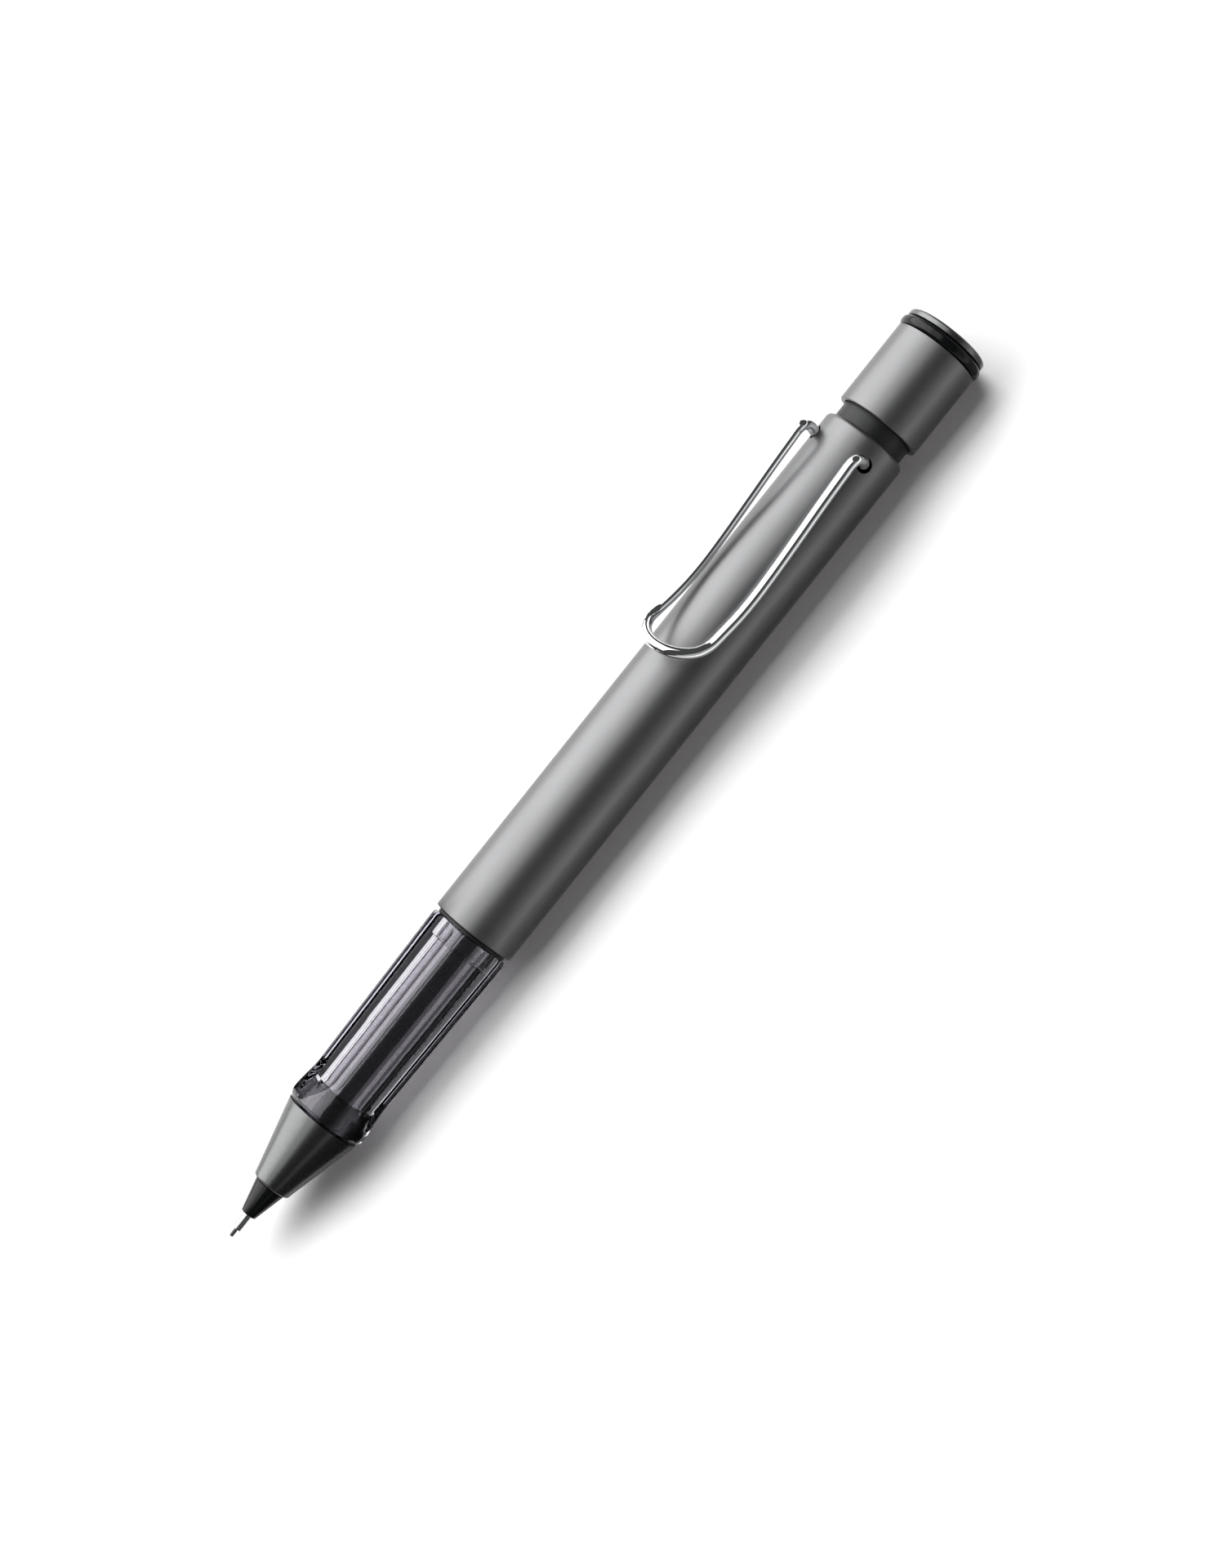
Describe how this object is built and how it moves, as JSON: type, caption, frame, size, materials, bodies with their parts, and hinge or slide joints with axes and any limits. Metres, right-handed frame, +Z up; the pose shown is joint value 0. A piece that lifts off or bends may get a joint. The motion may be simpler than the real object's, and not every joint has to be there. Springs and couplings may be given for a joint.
{
  "type": "mechanical pencil",
  "caption": "Push-button mechanical pencil: satin metal barrel, bent wire clip, clear smoked grip with finger flats, dark cone and thin lead sleeve.",
  "frame": {"origin": "centre of the pencil's length, on the surface that it lies on, under its axis", "axes": "+X along the axis from the lead to the cap, +Z up through the clip, +Y to the left of the clip seen from the lead end"},
  "size_m": [0.1408, 0.0118, 0.0162],
  "materials": {
    "satin_aluminium": "satin anodised",
    "chrome": "polished",
    "black_plastic": "satin",
    "gloss_black": "gloss",
    "dark_metal": "satin",
    "smoked_clear": "clear gloss",
    "grey_disc": "satin",
    "steel": "drawn",
    "brass": "turned",
    "rubber_black": "matt",
    "tank_plastic": "translucent",
    "eraser_white": "matt",
    "graphite": "semi-matt"
  },
  "bodies": {
    "holder": {"barrel_tube": "satin_aluminium", "neck_bush": "black_plastic", "section_coupler": "steel", "grip_section": "smoked_clear", "nose_cone": "dark_metal", "tip_cone": "gloss_black", "lead_pipe": "steel", "lead_retainer": "rubber_black", "mechanism_tube": "steel", "clutch_seat": "brass", "return_spring": "steel"},
    "plunger": {"collet_stem": "brass", "connecting_bush": "black_plastic", "lead_tank": "tank_plastic", "tank_socket": "black_plastic", "spare_lead_1": "graphite", "spare_lead_2": "graphite"},
    "clutch": {"clutch_ring": "brass"},
    "jaw_1": {"collet_jaw_1": "brass"},
    "jaw_2": {"collet_jaw_2": "brass"},
    "jaw_3": {"collet_jaw_3": "brass"},
    "feed_lead": {"lead": "graphite"},
    "cap": {"cap_sleeve": "satin_aluminium", "cap_core": "black_plastic", "cap_end_disc": "grey_disc"},
    "eraser_unit": {"eraser_holder": "steel", "eraser": "eraser_white", "cleaning_needle": "steel"},
    "clip": {"clip_wire": "chrome"}
  },
  "joints": [
    {"name": "button_press", "type": "slide", "parent": "holder", "child": "plunger", "axis": [-1, 0, 0], "range_m": [0, 0.002], "stiffness_N_per_m": 900, "springref_m": -0.004, "deforming": ["return_spring"]},
    {"name": "clutch_ring_slide", "type": "slide", "parent": "holder", "child": "clutch", "axis": [-1, 0, 0], "range_m": [0, 0.0008]},
    {"name": "jaw_1_open", "type": "hinge", "parent": "plunger", "child": "jaw_1", "pos_m": [-0.04942, 0, 0.00647], "axis": [0, 1, 0], "range_deg": [0, 2.1]},
    {"name": "jaw_2_open", "type": "hinge", "parent": "plunger", "child": "jaw_2", "pos_m": [-0.04942, -0.00048, 0.00565], "axis": [0, -0.5, 0.866], "range_deg": [0, 2.1]},
    {"name": "jaw_3_open", "type": "hinge", "parent": "plunger", "child": "jaw_3", "pos_m": [-0.04942, 0.00048, 0.00565], "axis": [0, -0.5, -0.866], "range_deg": [0, 2.1]},
    {"name": "lead_feed", "type": "slide", "parent": "holder", "child": "feed_lead", "axis": [-1, 0, 0], "range_m": [0, 0.0008]},
    {"name": "cap_pull_off", "type": "slide", "parent": "plunger", "child": "cap", "axis": [1, 0, 0], "range_m": [0, 0.04]},
    {"name": "eraser_pull_out", "type": "slide", "parent": "plunger", "child": "eraser_unit", "axis": [1, 0, 0], "range_m": [0, 0.0245]},
    {"name": "clip_flex", "type": "hinge", "parent": "holder", "child": "clip", "pos_m": [0.05092, 0, 0.00957], "axis": [0, 1, 0], "range_deg": [0, 5], "stiffness_Nm_per_rad": 1.8}
  ],
  "couplings": [
    {"joint": "clutch_ring_slide", "follows": "button_press", "ratio": 0.35},
    {"joint": "lead_feed", "follows": "button_press", "ratio": 0.35},
    {"joint": "jaw_1_open", "follows": "button_press", "rad_per_m": 17.453},
    {"joint": "jaw_2_open", "follows": "button_press", "rad_per_m": 17.453},
    {"joint": "jaw_3_open", "follows": "button_press", "rad_per_m": 17.453},
    {"joint": "eraser_pull_out", "follows": "cap_pull_off", "ratio": 0.6}
  ]
}
